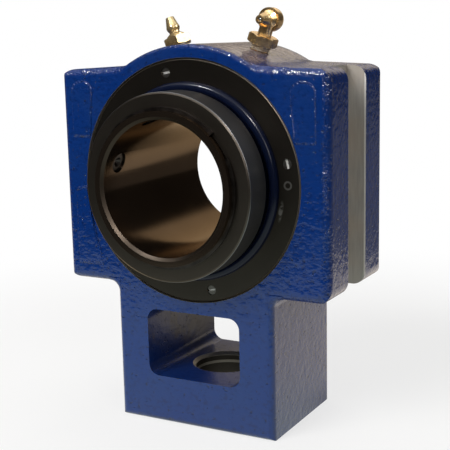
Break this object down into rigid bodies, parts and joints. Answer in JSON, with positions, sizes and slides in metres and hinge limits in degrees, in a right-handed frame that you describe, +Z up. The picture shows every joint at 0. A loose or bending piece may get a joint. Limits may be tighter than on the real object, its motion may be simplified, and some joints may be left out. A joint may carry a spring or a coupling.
{
  "type": "take up bearing unit",
  "caption": "Cast take-up bearing block with side guide grooves, an adjusting-screw foot, a self-aligning roller bearing, a locking collar and two grease fittings.",
  "frame": {"origin": "centre of the bearing: on the shaft's axis, at half the depth of the block", "axes": "+Y along the shaft from the collar side to the back, +Z up from the foot through the shaft's axis, +X towards the elbow grease fitting"},
  "size_m": [0.1406, 0.0923, 0.1985],
  "materials": {
    "blue_paint": "gloss cast",
    "black_oxide": "black oxide",
    "plain_steel": "satin",
    "seal_rubber": "gloss",
    "bearing_steel": "ground",
    "cage_brass": "turned",
    "gold_plate": "yellow plated"
  },
  "bodies": {
    "block": {"housing": "blue_paint", "front_cover": "black_oxide", "rear_cover": "black_oxide", "front_lock_screws": "plain_steel", "rear_lock_screws": "plain_steel", "front_seal": "seal_rubber", "rear_seal": "seal_rubber", "outer_ring": "bearing_steel", "straight_grease_fitting": "gold_plate", "elbow_grease_fitting": "gold_plate"},
    "aligning": {"guide_ring": "bearing_steel"},
    "shaft_sleeve": {"inner_ring": "black_oxide", "locking_collar": "black_oxide", "collar_set_screws": "black_oxide", "snap_ring": "black_oxide"},
    "front_row": {"front_cage": "cage_brass", "front_roller_1": "bearing_steel", "front_roller_2": "bearing_steel", "front_roller_3": "bearing_steel", "front_roller_4": "bearing_steel", "front_roller_5": "bearing_steel", "front_roller_6": "bearing_steel", "front_roller_7": "bearing_steel", "front_roller_8": "bearing_steel", "front_roller_9": "bearing_steel", "front_roller_10": "bearing_steel", "front_roller_11": "bearing_steel", "front_roller_12": "bearing_steel", "front_roller_13": "bearing_steel", "front_roller_14": "bearing_steel", "front_roller_15": "bearing_steel", "front_roller_16": "bearing_steel", "front_roller_17": "bearing_steel"},
    "rear_row": {"rear_cage": "cage_brass", "rear_roller_1": "bearing_steel", "rear_roller_2": "bearing_steel", "rear_roller_3": "bearing_steel", "rear_roller_4": "bearing_steel", "rear_roller_5": "bearing_steel", "rear_roller_6": "bearing_steel", "rear_roller_7": "bearing_steel", "rear_roller_8": "bearing_steel", "rear_roller_9": "bearing_steel", "rear_roller_10": "bearing_steel", "rear_roller_11": "bearing_steel", "rear_roller_12": "bearing_steel", "rear_roller_13": "bearing_steel", "rear_roller_14": "bearing_steel", "rear_roller_15": "bearing_steel", "rear_roller_16": "bearing_steel", "rear_roller_17": "bearing_steel"},
    "straight_valve": {"straight_check_ball": "bearing_steel"},
    "elbow_valve": {"elbow_check_ball": "bearing_steel"}
  },
  "joints": [
    {"name": "self_align", "type": "hinge", "parent": "block", "child": "aligning", "pos_m": [0, 0, 0], "axis": [1, 0, 0], "range_deg": [-1.5, 1.5]},
    {"name": "shaft_spin", "type": "hinge", "parent": "aligning", "child": "shaft_sleeve", "pos_m": [0, 0, 0], "axis": [0, 1, 0], "continuous": true},
    {"name": "front_row_orbit", "type": "hinge", "parent": "aligning", "child": "front_row", "pos_m": [0, 0, 0], "axis": [0, 1, 0], "continuous": true},
    {"name": "rear_row_orbit", "type": "hinge", "parent": "aligning", "child": "rear_row", "pos_m": [0, 0, 0], "axis": [0, 1, 0], "continuous": true},
    {"name": "straight_check_slide", "type": "slide", "parent": "block", "child": "straight_valve", "axis": [0.342, 0, -0.9397], "range_m": [0, 0.0012], "stiffness_N_per_m": 200, "springref_m": -0.001},
    {"name": "elbow_check_slide", "type": "slide", "parent": "block", "child": "elbow_valve", "axis": [0, 1, 0], "range_m": [0, 0.0012], "stiffness_N_per_m": 200, "springref_m": -0.001}
  ],
  "couplings": [
    {"joint": "front_row_orbit", "follows": "shaft_spin", "ratio": 0.4309},
    {"joint": "rear_row_orbit", "follows": "shaft_spin", "ratio": 0.4309}
  ]
}
